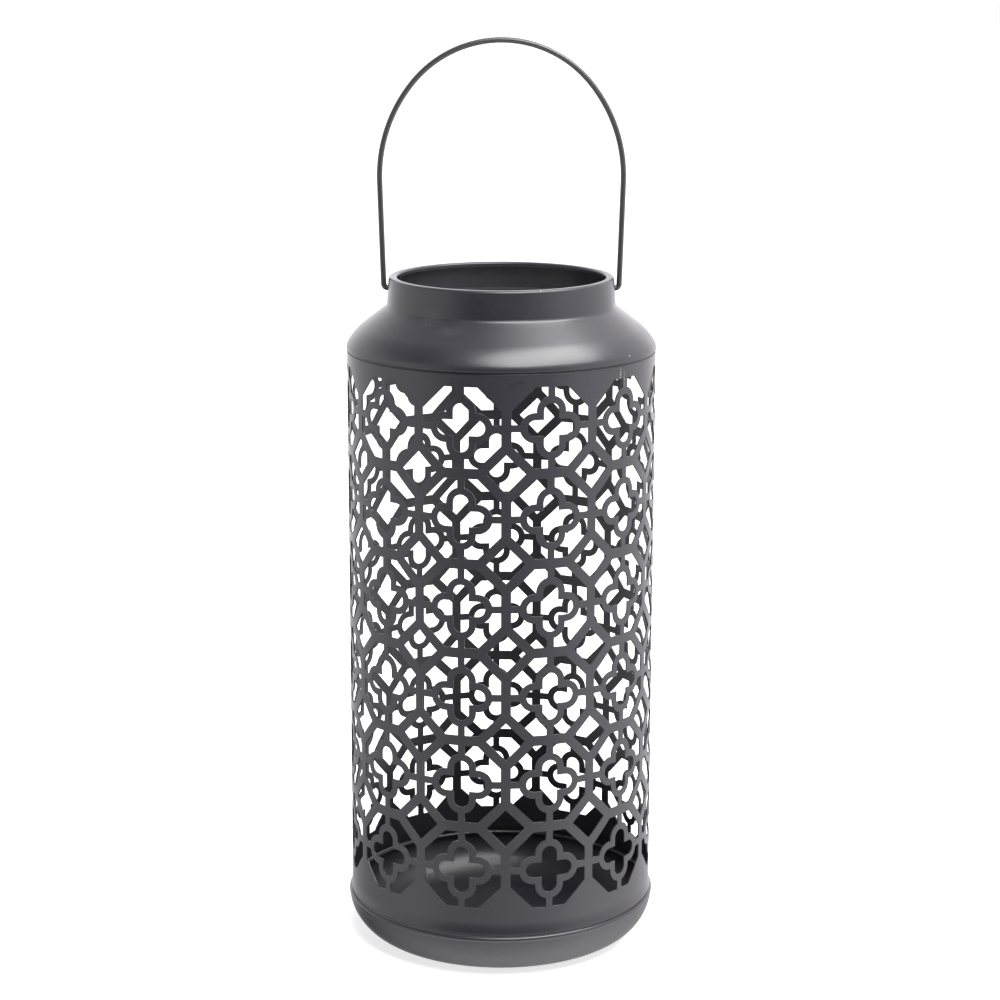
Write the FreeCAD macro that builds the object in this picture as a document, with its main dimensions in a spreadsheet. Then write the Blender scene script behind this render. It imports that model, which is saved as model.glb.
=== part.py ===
"""Punched tin lantern: base pan, perforated sleeve, shoulder cap and wire bail.

Millimetres, +Z up. The origin is the centre of the base's underside, and -Y is the front.
"""
import FreeCAD, Part
import Sketcher
import os

# Driving sizes: the metal parts' outer surfaces, in millimetres, degrees and pieces
SIZES = {
    # sheet metal
    "sheet_wall": 0.8,
    "cut_overrun": 1.0,
    # sleeve, rolled from a punched sheet
    "sleeve_radius": 80.0,
    "flare_reach": 1.0,
    "flare_rise": 7.0,
    "bottom_row_height": 59.6,
    "row_pitch": 46.0,
    "top_row_margin": 27.8,
    "column_count": 11,
    "row_count": 6,
    "pattern_turn": 18.2,
    # one cell of the punched pattern
    "bar_width": 5.2,
    "lobe_offset": 8.3,
    "lobe_hole_radius": 4.0,
    "lobe_ring_radius": 7.6,
    "link_width": 3.6,
    # base pan
    "base_corner_radius": 19.8,
    "belly_reach": 1.8,
    "bead_radius": 1.4,
    "bead_reach": 0.35,
    "bead_crease_drop": 0.7,
    "seam_height": 24.5,
    # shoulder cap
    "cap_clearance": 0.1,
    "sleeve_tuck": 0.9,
    "lip_bend_radius": 6.0,
    "lip_bend_angle": 30.0,
    "shoulder_radius": 30.0,
    "shoulder_slope": 52.0,
    "neck_fillet_radius": 3.0,
    "neck_radius": 59.1,
    "neck_top_radius": 58.2,
    "neck_rise": 13.1,
    "rim_corner_radius": 1.5,
    "mouth_radius": 53.9,
    "hem_corner_radius": 1.1,
    "hem_drop": 2.4,
    # wire bail
    "wire_radius": 1.42,
    "pivot_drop": 6.3,
    "pivot_clearance": 0.08,
    "pivot_standoff": 0.05,
    "elbow_radius": 2.1,
    "stub_length": 5.2,
    "leg_lean": 1.75,
    "bail_rise": 126.1,
    "crown_radius": 58.5,
    "crown_half_angle": 50.0,
}

# Sizes worked out from the driving ones; "mid" is the middle of the sheet
DERIVED = {
    "half_wall": "=sheet_wall / 2",
    # pattern: a regular octagon in each cell and a diamond where four cells meet
    "column_pitch": "=2 * pi * sleeve_radius / column_count",
    "cell_half_height": "=(row_pitch - bar_width) / 2",
    "cell_half_chord": "=sleeve_radius * sin((column_pitch - bar_width) / 2 / sleeve_radius * 1rad)",
    "diamond_side": "=row_pitch / (1 + sqrt(2)) - bar_width",
    "punch_depth": "=sleeve_radius * (1 - cos(180 / column_count)) + sheet_wall + 2 * cut_overrun",
    "punch_start": "=sleeve_radius + cut_overrun - punch_depth",
    # heights of the sleeve's seams
    "cap_seam_height": "=bottom_row_height + (row_count - 1) * row_pitch + top_row_margin",
    "lip_height": "=cap_seam_height + half_wall",
    # sleeve line
    "sleeve_mid": "=sleeve_radius - half_wall",
    "sleeve_top": "=lip_height + sleeve_tuck - half_wall",
    "flare_mid": "=sleeve_mid + flare_reach",
    "flare_top": "=seam_height + flare_rise",
    "flare_foot": "=seam_height + half_wall",
    "flare_curve": "=(flare_reach ^ 2 + (flare_rise - half_wall) ^ 2) / (2 * flare_reach)",
    # base pan line
    "belly_mid": "=sleeve_radius + belly_reach - half_wall",
    "base_bend": "=base_corner_radius - half_wall",
    "foot_radius": "=belly_mid - base_bend",
    "bead_bend": "=bead_radius - half_wall",
    "bead_height": "=seam_height - bead_radius",
    "bead_centre": "=sleeve_radius + bead_reach",
    "bead_inner": "=bead_centre - bead_bend",
    "crease_radius": "=bead_centre + sqrt(bead_bend ^ 2 - bead_crease_drop ^ 2)",
    "crease_height": "=bead_height - bead_crease_drop",
    "crease_inset": "=belly_mid - crease_radius",
    "crease_rise": "=crease_height - base_corner_radius",
    "crease_curve": "=(crease_inset ^ 2 + crease_rise ^ 2) / (2 * crease_inset)",
    # shoulder cap line: a tight bend at the lip, a wide one over the shoulder, a cone and the neck
    "lip_mid": "=sleeve_radius + cap_clearance + half_wall",
    "lip_bend": "=lip_bend_radius - half_wall",
    "knee_radius": "=lip_mid - lip_bend * (1 - cos(lip_bend_angle))",
    "knee_height": "=lip_height + lip_bend * sin(lip_bend_angle)",
    "slope_run": "=1 - cos(shoulder_slope)",
    "slope_rise": "=sin(shoulder_slope)",
    "shoulder_bend": "=shoulder_radius - half_wall",
    "fillet_bend": "=neck_fillet_radius + half_wall",
    "neck_mid": "=neck_radius - half_wall",
    "neck_top_mid": "=neck_top_radius - half_wall",
    "slope_low_radius": "=knee_radius - shoulder_bend * (cos(lip_bend_angle) - cos(shoulder_slope))",
    "slope_low_height": "=knee_height + shoulder_bend * (slope_rise - sin(lip_bend_angle))",
    "slope_high_radius": "=neck_mid + fillet_bend * slope_run",
    "slope_high_height": "=slope_low_height + (slope_low_radius - slope_high_radius) / tan(shoulder_slope)",
    "neck_foot_height": "=slope_high_height + fillet_bend * slope_rise",
    "rim_height": "=neck_foot_height + neck_rise",
    "rim_bend": "=rim_corner_radius - half_wall",
    "rim_side_height": "=rim_height - rim_corner_radius",
    "rim_flat_height": "=rim_height - half_wall",
    "rim_flat_outer": "=neck_top_radius - rim_corner_radius",
    "rim_flat_inner": "=mouth_radius + hem_corner_radius",
    "hem_bend": "=hem_corner_radius - half_wall",
    "hem_mid": "=mouth_radius + half_wall",
    "hem_top_height": "=rim_height - hem_corner_radius",
    "hem_foot_height": "=rim_height - hem_drop + half_wall",
    # bail line; the legs are straight and the arch has one crown arc and two side arcs
    "pivot_height": "=rim_height - pivot_drop",
    "neck_taper": "=(neck_radius - neck_top_radius) / (neck_rise - rim_corner_radius)",
    "pivot_radius": "=neck_top_radius + neck_taper * (pivot_drop - rim_corner_radius)",
    "hole_radius": "=wire_radius + pivot_clearance",
    "elbow_inner": "=pivot_radius + pivot_standoff",
    "stub_end": "=elbow_inner - stub_length",
    "elbow_outer": "=elbow_inner + elbow_radius * cos(leg_lean)",
    "elbow_height": "=pivot_height + elbow_radius * (1 - sin(leg_lean))",
    "crown_height": "=pivot_height + bail_rise",
    "crown_end": "=crown_radius * sin(crown_half_angle)",
    "crown_end_height": "=crown_height - crown_radius * (1 - cos(crown_half_angle))",
    "leg_spread": "=elbow_outer + (crown_end_height - elbow_height) * tan(leg_lean) - crown_end",
    "side_share": "=1 / cos(leg_lean) - sin(crown_half_angle) + cos(crown_half_angle) * tan(leg_lean)",
    "side_curve": "=leg_spread / side_share",
    "side_drop": "=side_curve * (cos(crown_half_angle) + sin(leg_lean))",
    "leg_top": "=crown_end + side_curve * (cos(leg_lean) - sin(crown_half_angle))",
    "leg_top_height": "=crown_end_height - side_drop",
}

doc = FreeCAD.newDocument("punched_tin_lantern")
sheet = doc.addObject("Spreadsheet::Sheet", "sizes")
for row, (alias, content) in enumerate({**SIZES, **DERIVED}.items(), start=1):
    sheet.set(f"A{row}", alias)
    sheet.set(f"B{row}", str(content))
    sheet.setAlias(f"B{row}", alias)
doc.recompute()

AXIS = FreeCAD.Vector(0, 0, 1)
SIDEWAYS = FreeCAD.Vector(0, 1, 0)
TO_FRONT = FreeCAD.Rotation(FreeCAD.Vector(1, 0, 0), 90)
DIAGONAL = FreeCAD.Rotation(SIDEWAYS, 45)
ALONG_X = FreeCAD.Rotation(SIDEWAYS, 90)


def size(alias):
    """The value of a cell: millimetres, degrees or pieces."""
    return float(getattr(sheet, alias))


def bind(thing, **expressions):
    """Ties properties of an object to the sheet; x, y and z stand for its place."""
    for name, text in expressions.items():
        thing.setExpression(f"Placement.Base.{name}" if name in "xyz" else name, text)
    return thing


def primitive(kind, name, turn, **expressions):
    """A primitive with its turn set and its sizes tied to the sheet."""
    thing = doc.addObject(f"Part::{kind}", name)
    thing.Placement = FreeCAD.Placement(FreeCAD.Vector(), turn)
    return bind(thing, **expressions)


def fused(name, pieces):
    """One solid of several that overlap."""
    union = doc.addObject("Part::MultiFuse", name)
    union.Shapes = pieces
    return union


def boolean(kind, name, base, tool):
    """The cut or the common part of two shapes."""
    result = doc.addObject(f"Part::{kind}", name)
    result.Base = base
    result.Tool = tool
    return result


class Line:
    """A line of straight runs and arcs in the XZ plane, its corners and radii tied to the sheet.

    A corner is a side, 1 right or -1 left, and the names of its distance across and its height.
    """

    def __init__(self, name, start):
        self.sketch = doc.addObject("Sketcher::SketchObject", name)
        self.sketch.Placement = FreeCAD.Placement(FreeCAD.Vector(), TO_FRONT)
        self.corner = start
        self.tail = None

    def place(self, corner):
        side, across, height = corner
        return FreeCAD.Vector(side * size(across), size(height), 0)

    def hold(self, constraint, alias):
        index = self.sketch.addConstraint(constraint)
        self.sketch.setExpression(f"Constraints[{index}]", f"sizes.{alias}")

    def fix(self, edge, end, corner):
        """Ties one end of an edge to its distance across and its height."""
        side, across, height = corner
        ends = (-1, 1, edge, end) if side > 0 else (edge, end, -1, 1)
        self.hold(Sketcher.Constraint("DistanceX", *ends, size(across)), across)
        self.hold(Sketcher.Constraint("DistanceY", -1, 1, edge, end, size(height)), height)

    def join(self, edge, start, end, corner):
        """Joins a new edge to the last one and fixes its far end."""
        if self.tail:
            self.sketch.addConstraint(Sketcher.Constraint("Coincident", *self.tail, edge, start))
        else:
            self.fix(edge, start, self.corner)
        self.fix(edge, end, corner)
        self.tail = (edge, end)
        self.corner = corner

    def run(self, corner):
        """A straight run to the next corner."""
        edge = self.sketch.addGeometry(Part.LineSegment(self.place(self.corner), self.place(corner)))
        self.join(edge, 1, 2, corner)

    def arc(self, corner, radius, turn, long_way=False):
        """An arc to the next corner that turns left (1) or right (-1) as it goes."""
        start = self.place(self.corner)
        chord = self.place(corner) - start
        left = FreeCAD.Vector(-chord.y, chord.x, 0).normalize()
        to_centre = max(size(radius) ** 2 - (chord.Length / 2) ** 2, 0) ** 0.5
        centre = start + chord / 2 + left * to_centre * turn * (-1 if long_way else 1)
        middle = centre - left * size(radius) * turn
        edge = self.sketch.addGeometry(Part.ArcOfCircle(start, middle, start + chord))
        forward = self.sketch.getPoint(edge, 1).distanceToPoint(start) < chord.Length / 2
        self.join(edge, 1 if forward else 2, 2 if forward else 1, corner)
        self.hold(Sketcher.Constraint("Radius", edge, size(radius)), radius)


def spun_sheet(name, line):
    """Sheet metal spun round the axis: the line is its middle and its edges are rounded."""
    strip = doc.addObject("Part::Offset2D", f"{name}_strip")
    strip.Source = line.sketch
    strip.Fill = True
    bind(strip, Value="sizes.half_wall")
    shell = doc.addObject("Part::Revolution", name)
    shell.Source = strip
    shell.Axis = AXIS
    shell.Solid = True
    return shell


def punch_box(name, turn, width, height):
    """A box that punches towards the front, centred on the cell unless it is turned."""
    box = primitive("Box", name, turn, Width="sizes.punch_depth", Length=width, Height=height)
    bind(box, y="-sizes.punch_start - sizes.punch_depth")
    if turn == DIAGONAL:
        return bind(box, x=f"-({width}) * cos(45)")
    return bind(box, x=f"-({width}) / 2", z=f"-({height}) / 2")


def quatrefoil(name, radius):
    """Four lobes round the cell's centre, joined by two crossing arms."""
    reach, waist = "2 * sizes.lobe_offset", f"2 * {radius}"
    pieces = [
        punch_box(f"{name}_arm_across", FreeCAD.Rotation(), reach, waist),
        punch_box(f"{name}_arm_upright", FreeCAD.Rotation(), waist, reach),
    ]
    for place in ("x", "z"):
        for sign in ("", "-"):
            lobe = primitive("Cylinder", f"{name}_lobe", TO_FRONT, Radius=radius)
            bind(lobe, Height="sizes.punch_depth", y="-sizes.punch_start")
            pieces.append(bind(lobe, **{place: f"{sign}sizes.lobe_offset"}))
    return fused(name, pieces)


def cell_punch():
    """The four corner openings and the quatrefoil of one cell, at the front and at height zero."""
    wide, tall, link = "2 * sizes.cell_half_chord", "2 * sizes.cell_half_height", "sizes.link_width"
    upright = punch_box("cell_upright", FreeCAD.Rotation(), wide, tall)
    turned = punch_box("cell_turned", DIAGONAL, tall, tall)
    octagon = boolean("Common", "cell_octagon", upright, turned)
    ring = quatrefoil("ring", "sizes.lobe_ring_radius")
    link_across = punch_box("link_across", FreeCAD.Rotation(), f"{wide} + sizes.cut_overrun", link)
    link_upright = punch_box("link_upright", FreeCAD.Rotation(), link, f"{tall} + sizes.cut_overrun")
    kept = fused("ring_and_links", [ring, link_across, link_upright])
    corners = boolean("Cut", "corner_openings", octagon, kept)
    hole = quatrefoil("quatrefoil_opening", "sizes.lobe_hole_radius")
    return [corners, hole]


def all_openings():
    """Every opening of the sleeve: the cells in rows and columns, and the diamonds between them."""
    cell = cell_punch()
    diamond = punch_box("diamond_opening", DIAGONAL, "sizes.diamond_side", "sizes.diamond_side")
    doc.recompute()
    columns, rows = int(size("column_count")), int(size("row_count"))
    turn, pitch = 360 / columns, size("row_pitch")
    tools = []
    for column in range(columns):
        for row in range(rows):
            places = [(piece.Shape, column, row) for piece in cell]
            if row < rows - 1:
                places.append((diamond.Shape, column + 1 / 2, row + 1 / 2))
            for shape, across, up in places:
                tool = shape.copy()
                tool.translate(FreeCAD.Vector(0, 0, size("bottom_row_height") + up * pitch))
                tool.rotate(FreeCAD.Vector(), AXIS, size("pattern_turn") + across * turn)
                tools.extend(tool.Solids)
    openings = doc.addObject("Part::Feature", "sleeve_openings")
    openings.Shape = Part.makeCompound(tools)
    return openings


def perforated_sleeve():
    """The punched sheet, rolled up, with its lower edge flared out over the base's bead."""
    line = Line("sleeve_line", (1, "sleeve_mid", "sleeve_top"))
    line.run((1, "sleeve_mid", "flare_top"))
    line.arc((1, "flare_mid", "flare_foot"), "flare_curve", 1)
    return boolean("Cut", "perforated_sleeve", spun_sheet("rolled_sheet", line), all_openings())


def base_pan():
    """A drawn pan with a flat floor, a round corner and a rolled bead that carries the sleeve."""
    line = Line("pan_line", (1, "base_corner_radius", "half_wall"))
    line.run((1, "foot_radius", "half_wall"))
    line.arc((1, "belly_mid", "base_corner_radius"), "base_bend", 1)
    line.arc((1, "crease_radius", "crease_height"), "crease_curve", 1)
    line.arc((1, "bead_inner", "bead_height"), "bead_bend", 1, long_way=True)
    wall = spun_sheet("pan_wall", line)
    floor = primitive("Cylinder", "pan_floor", FreeCAD.Rotation(), Radius="sizes.foot_radius")
    bind(floor, Height="sizes.sheet_wall")
    return fused("base_pan", [wall, floor])


def shoulder_cap():
    """Neck and shoulder in one spun shell, with a turned-in rim and two holes for the bail."""
    line = Line("cap_line", (1, "lip_mid", "lip_height"))
    line.arc((1, "knee_radius", "knee_height"), "lip_bend", 1)
    line.arc((1, "slope_low_radius", "slope_low_height"), "shoulder_bend", 1)
    line.run((1, "slope_high_radius", "slope_high_height"))
    line.arc((1, "neck_mid", "neck_foot_height"), "fillet_bend", -1)
    line.run((1, "neck_top_mid", "rim_side_height"))
    line.arc((1, "rim_flat_outer", "rim_flat_height"), "rim_bend", 1)
    line.run((1, "rim_flat_inner", "rim_flat_height"))
    line.arc((1, "hem_mid", "hem_top_height"), "hem_bend", 1)
    line.run((1, "hem_mid", "hem_foot_height"))
    shell = spun_sheet("cap_shell", line)
    holes = primitive("Cylinder", "bail_holes", ALONG_X, Radius="sizes.hole_radius")
    bind(holes, Height="2 * sizes.lip_mid", x="-sizes.lip_mid", z="sizes.pivot_height")
    return boolean("Cut", "shoulder_cap", shell, holes)


def bail_handle():
    """One length of round wire: stubs through the neck, elbows, straight legs and an arch."""
    line = Line("bail_line", (-1, "stub_end", "pivot_height"))
    line.run((-1, "elbow_inner", "pivot_height"))
    line.arc((-1, "elbow_outer", "elbow_height"), "elbow_radius", -1)
    line.run((-1, "leg_top", "leg_top_height"))
    line.arc((-1, "crown_end", "crown_end_height"), "side_curve", -1)
    line.arc((1, "crown_end", "crown_end_height"), "crown_radius", -1)
    line.arc((1, "leg_top", "leg_top_height"), "side_curve", -1)
    line.run((1, "elbow_outer", "elbow_height"))
    line.arc((1, "elbow_inner", "pivot_height"), "elbow_radius", -1)
    line.run((1, "stub_end", "pivot_height"))
    section = primitive("Circle", "wire_section", ALONG_X, Radius="sizes.wire_radius")
    bind(section, x="-sizes.stub_end", z="sizes.pivot_height")
    doc.recompute()
    wire = doc.addObject("Part::Sweep", "bail_handle")
    wire.Sections = [section]
    wire.Spine = (line.sketch, [f"Edge{index + 1}" for index in range(len(line.sketch.Shape.Edges))])
    wire.Solid = True
    return wire


PIECES = {
    "base_pan": base_pan(),
    "perforated_sleeve": perforated_sleeve(),
    "shoulder_cap": shoulder_cap(),
    "bail_handle": bail_handle(),
}
doc.recompute()

faults = [thing.Name for thing in doc.Objects if {"Invalid", "Error"} & set(thing.State)]
for name, piece in PIECES.items():
    piece.Label = name
    shape = piece.Shape
    if shape.isNull() or not shape.isValid() or len(shape.Solids) != 1:
        faults.append(name)
if faults:
    raise RuntimeError(f"not built cleanly: {', '.join(faults)}")

os.makedirs("parts", exist_ok=True)
for name, piece in PIECES.items():
    piece.Shape.exportStep(f"parts/{name}.step")
    print(f"{name}: {piece.Shape.Volume:.0f} mm3")
for alias in ("pivot_height", "rim_height", "pivot_radius", "crown_height", "stub_end", "leg_top"):
    print(f"{alias} {size(alias):.3f}")
print(f"bail wire {PIECES['bail_handle'].Spine[0].Shape.Length:.1f} mm long")
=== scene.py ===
"""Punched tin lantern: charcoal sheet metal with a pierced sleeve and a swinging wire bail.

The sizes below are millimetres and degrees, in the part's own frame: +Z up, -Y to the front.
"""
import math

import bpy
import numpy as np
from mathutils import Matrix, Vector
from mathutils.geometry import delaunay_2d_cdt


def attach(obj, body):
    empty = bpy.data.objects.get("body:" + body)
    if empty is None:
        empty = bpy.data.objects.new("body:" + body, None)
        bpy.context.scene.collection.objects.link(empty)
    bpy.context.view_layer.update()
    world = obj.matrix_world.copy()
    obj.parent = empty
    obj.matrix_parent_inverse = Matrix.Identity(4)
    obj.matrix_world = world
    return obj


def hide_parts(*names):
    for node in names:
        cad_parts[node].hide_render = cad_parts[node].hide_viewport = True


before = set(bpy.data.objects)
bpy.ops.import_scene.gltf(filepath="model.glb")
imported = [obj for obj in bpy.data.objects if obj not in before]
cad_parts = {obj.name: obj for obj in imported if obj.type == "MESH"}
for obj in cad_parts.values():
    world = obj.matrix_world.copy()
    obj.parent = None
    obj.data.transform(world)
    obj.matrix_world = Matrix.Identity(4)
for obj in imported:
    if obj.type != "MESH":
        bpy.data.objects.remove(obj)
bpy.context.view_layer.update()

MM = 0.001

# Sheet metal
WALL = 0.8
HALF_WALL = WALL / 2
CUT_EDGE = 0.14  # the coat's soft edge round every punched opening
WELD = 0.004  # points of neighbouring tiles nearer than this are one point

# Sleeve and its punched pattern
SLEEVE_RADIUS = 80.0
COLUMNS = 11
ROWS = 6
ROW_PITCH = 46.0
FIRST_ROW = 59.6
PATTERN_TURN = 18.2
BAR = 5.2
LOBE_OFFSET = 8.3
LOBE_HOLE = 4.0
LOBE_RING = 7.6
LINK = 3.6
FLARE_TOP = 31.5
FLARE_FOOT = 24.45  # where the flare's arc would stand out by its whole reach
FLARE_REACH = 1.0
# the plain bands past the cells: heights on the way, the edge that shows, the end of the tongue
FOOT_BAND = ((36.6, 34.0, FLARE_TOP, 30.2, 28.9, 27.6, 26.5), 25.3, 24.3)
TOP_BAND = ((312.6, 315.4), 316.45, 318.6)
SEAM_STEP = 0.62  # how deep the dark gap at either edge is
SEAM_ROUND = 0.14
SEAM_NOTCH = 0.02  # the small corner between the edge and the tongue
# how many parts a tile's sides are cut into: next to a tile, with one plain corner, along a band
SIDE_PARTS = 9
LONG_SIDE_PARTS = 13
BAND_PARTS = 16
DIAMOND_PARTS = 5

# Base pan
BASE_CORNER = 23.5  # from the flat floor up to the crease
BEAD_RADIUS = 1.4
BEAD_REACH = 0.35
CREASE_DROP = 0.7
SEAM_HEIGHT = 24.5
# the pan's rim sits a little crooked under the sleeve: the gap opens towards the front left
SEAT_DROP = 0.24
SEAT_TILT = (0.3, 0.22)  # how much higher the rim is at the right and at the rear
SEAT_FADE = (12.0, 22.0)  # heights between which the pan takes up the slant

# Shoulder cap
LIP_HEIGHT = 317.8
LIP_RADIUS = 80.3  # pressed in against the sleeve
LOWER_BEND = 6.0
LOWER_TURN = 30.0
UPPER_BEND = 30.0
SLOPE = 52.0
NECK_FILLET = 3.0
NECK_RADIUS = 59.1
NECK_TOP_RADIUS = 58.2
RIM_HEIGHT = 354.539
RIM_CORNER = 1.5
MOUTH_RADIUS = 53.9
HEM_CORNER = 1.1
HEM_DROP = 2.4

# Wire bail
WIRE = 1.42
WIRE_SIDES = 24
WIRE_END = ((0.25, 0), (0.07, 0.1), (0, 0.3))  # how much thinner, and how far from the cut end
PIVOT_HEIGHT = 348.239
HOLE = 1.5
HOLE_SIDES = 48
CUTTER_REACH = 70  # past the neck at either side
ELBOW_INNER = 58.622
ELBOW = 2.1
STUB_END = 53.422
LEG_LEAN = 1.75
BAIL_RISE = 126.1
CROWN_RADIUS = 58.5
CROWN_HALF_ANGLE = 50.0

COLUMN_PITCH = 2 * math.pi * SLEEVE_RADIUS / COLUMNS

# Coat
SPECKLE = "#57575b"
RUBBED_PALE = "#a3a3a6"
SCRATCHED = "#0a0a0c"
# marks on the sheet, each with its middle, its half sizes and its strength
# the pale ones come from the spot welder at the sleeve's right, and from handling above it
PALE_MARKS = (
    ((59.6, -53.4, 311.0), (0.9, 0.9, 5.5), 0.6),
    ((61.6, -51.1, 309.5), (0.7, 0.7, 5.0), 0.45),
    ((64.7, -47.4, 320.6), (1.2, 1.2, 0.9), 0.6),
    ((19.5, -53.9, 354.0), (0.8, 0.8, 0.8), 0.7),
    ((-37.0, -51.0, 340.0), (9.0, 9.0, 5.0), 0.07),
    ((-28.0, -63.0, 335.0), (12.0, 9.0, 3.0), 0.05),
)
DARK_MARKS = (
    ((9.9, -79.4, 312.6), (3.2, 1.2, 1.0), 1.0),
    ((5.6, -79.8, 310.4), (1.6, 1.2, 1.6), 1.0),
)

# Studio: places in metres, turns in radians, lens and sensor in millimetres
LAMP_AIM = (0, 0, 0.2)
FLOOR_REACH = 12
FLOOR_HEIGHT = -0.0002
CAMERA_PLACE = (0, -1.3393, 0.5355)
CAMERA_TURN = (math.pi / 2 - 0.22, -0.0012, 0.0007)
CAMERA_LENS = 94.04
CAMERA_SENSOR = 36


# Finishes

def colour(code):
    """A linear colour from an sRGB hex code."""
    parts = [int(code[i:i + 2], 16) / 255 for i in (1, 3, 5)]
    return [c / 12.92 if c <= 0.04045 else ((c + 0.055) / 1.055) ** 2.4 for c in parts] + [1]


def add(tree, kind, inputs=(), **settings):
    """Adds a node: a value, or another node's output, goes into each input by name or number."""
    node = tree.nodes.new(kind)
    for name, value in settings.items():
        setattr(node, name, value)
    for key, value in dict(inputs).items():
        if isinstance(value, bpy.types.NodeSocket):
            tree.links.new(value, node.inputs[key])
        else:
            node.inputs[key].default_value = value
    return node


def new_material(name):
    """An empty material and its node tree."""
    material = bpy.data.materials.new(name)
    material.use_nodes = True
    material.node_tree.nodes.clear()
    return material, material.node_tree


def scuffed(tree, place, coat, tint, marks):
    """The coat's colour with small ragged marks of another tint on it."""
    ragged = add(tree, "ShaderNodeTexNoise", {
        "Vector": place, "Scale": 1500, "Detail": 2,
    }).outputs["Fac"]
    torn = add(tree, "ShaderNodeMapRange", {
        "Value": ragged, "From Min": 0.44, "From Max": 0.6,
    }).outputs["Result"]
    for middle, half, strength in marks:
        away = add(tree, "ShaderNodeVectorMath", {
            0: place, 1: [c * MM for c in middle],
        }, operation="SUBTRACT").outputs[0]
        scaled = add(tree, "ShaderNodeVectorMath", {
            0: away, 1: [s * MM for s in half],
        }, operation="DIVIDE").outputs[0]
        reach = add(tree, "ShaderNodeVectorMath", {0: scaled}, operation="LENGTH").outputs["Value"]
        near = add(tree, "ShaderNodeMapRange", {
            "Value": reach, "From Min": 1.0, "From Max": 0.4, "To Min": 0.0, "To Max": strength,
        }).outputs["Result"]
        share = add(tree, "ShaderNodeMath", {0: near, 1: torn}, operation="MULTIPLY").outputs[0]
        coat = add(tree, "ShaderNodeMix", {
            "Factor": share, "A": coat, "B": colour(tint),
        }, data_type="RGBA").outputs["Result"]
    return coat


def powder_coat(name, plain, rubbed, roughness, peel_height, pale=(), dark=()):
    """Satin polyester powder coat, sprayed dry on steel and baked.

    It looks like dark plastic with a soft gloss: a faint orange peel about 1 mm across, fine
    grain where the powder lay thick, and slow changes of gloss from one area to another.
    """
    material, tree = new_material(name)
    place = add(tree, "ShaderNodeTexCoord").outputs["Object"]
    # orange peel, 1.1 mm across; real peel is nearer 0.7 mm and would not show
    peel = add(tree, "ShaderNodeTexNoise", {
        "Vector": place, "Scale": 900, "Detail": 2, "Roughness": 0.5,
    })
    grain = add(tree, "ShaderNodeTexNoise", {"Vector": place, "Scale": 3200, "Detail": 1})
    cloud = add(tree, "ShaderNodeTexNoise", {"Vector": place, "Scale": 28, "Detail": 3})
    gloss = add(tree, "ShaderNodeMapRange", {
        "Value": cloud.outputs["Fac"], "From Min": 0.3, "From Max": 0.7,
        "To Min": roughness - 0.04, "To Max": roughness + 0.05,
    })
    tone = add(tree, "ShaderNodeMix", {
        "Factor": cloud.outputs["Fac"], "A": colour(plain), "B": colour(rubbed),
    }, data_type="RGBA")
    speck = add(tree, "ShaderNodeMapRange", {
        "Value": grain.outputs["Fac"], "From Min": 0.66, "From Max": 0.76, "To Max": 0.35,
    })
    speckled = add(tree, "ShaderNodeMix", {
        "Factor": speck.outputs["Result"], "A": tone.outputs["Result"], "B": colour(SPECKLE),
    }, data_type="RGBA").outputs["Result"]
    worn = speckled
    for tint, marks in ((RUBBED_PALE, pale), (SCRATCHED, dark)):
        if marks:
            worn = scuffed(tree, place, worn, tint, marks)
    coarse = add(tree, "ShaderNodeBump", {
        "Strength": 0.35, "Distance": peel_height * MM, "Height": peel.outputs["Fac"],
    })
    fine = add(tree, "ShaderNodeBump", {
        "Strength": 0.35, "Distance": 0.012 * MM, "Height": grain.outputs["Fac"],
        "Normal": coarse.outputs["Normal"],
    })
    coat = add(tree, "ShaderNodeBsdfPrincipled", {
        "Base Color": worn, "Roughness": gloss.outputs["Result"],
        "Normal": fine.outputs["Normal"], "IOR": 1.5,
    })
    add(tree, "ShaderNodeOutputMaterial", {"Surface": coat.outputs["BSDF"]})
    return material


# Spun sheet and bent wire

def arc_points(start, end, radius, turn, long_way=False, step=5):
    """Points of an arc from start to end that turns left (1) or right (-1) as it goes."""
    start, end = Vector(start), Vector(end)
    chord = end - start
    left = Vector((-chord.y, chord.x)).normalized()
    to_centre = math.sqrt(max(radius ** 2 - (chord.length / 2) ** 2, 0))
    centre = start + chord / 2 + left * to_centre * turn * (-1 if long_way else 1)
    first = math.atan2(start.y - centre.y, start.x - centre.x)
    last = math.atan2(end.y - centre.y, end.x - centre.x)
    sweep = (last - first) * turn % (2 * math.pi)
    count = max(3, round(math.degrees(sweep) / step))
    angles = [first + turn * sweep * i / count for i in range(1, count + 1)]
    return [(centre.x + radius * math.cos(a), centre.y + radius * math.sin(a)) for a in angles]


def run_points(start, end, step=4.0):
    """Points of a straight run, the first left out."""
    start, end = Vector(start), Vector(end)
    count = max(1, round((end - start).length / step))
    return [tuple(start.lerp(end, i / count)) for i in range(1, count + 1)]


def trace(start, *moves):
    """The points of a line: a move is a corner, and for an arc its radius, turn and way round."""
    points = [start]
    for corner, *bend in moves:
        points += arc_points(points[-1], corner, *bend) if bend else run_points(points[-1], corner)
    return points


def normals_along(points):
    """The left-hand normal at each point of an open line."""
    line = np.array(points)
    steps = np.diff(line, axis=0)
    steps /= np.linalg.norm(steps, axis=1)[:, None]
    along = np.vstack([steps[:1], steps[:-1] + steps[1:], steps[-1:]])
    along /= np.linalg.norm(along, axis=1)[:, None]
    return np.stack([-along[:, 1], along[:, 0]], axis=1)


def rounded_end(centre, first):
    """Half a turn round the end of the sheet, from one face to the other, ends left out."""
    angles = [math.atan2(first[1], first[0]) - math.pi * i / 8 for i in range(1, 8)]
    facing = np.array([(math.cos(a), math.sin(a)) for a in angles])
    return np.array(centre) + HALF_WALL * facing, facing


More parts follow.
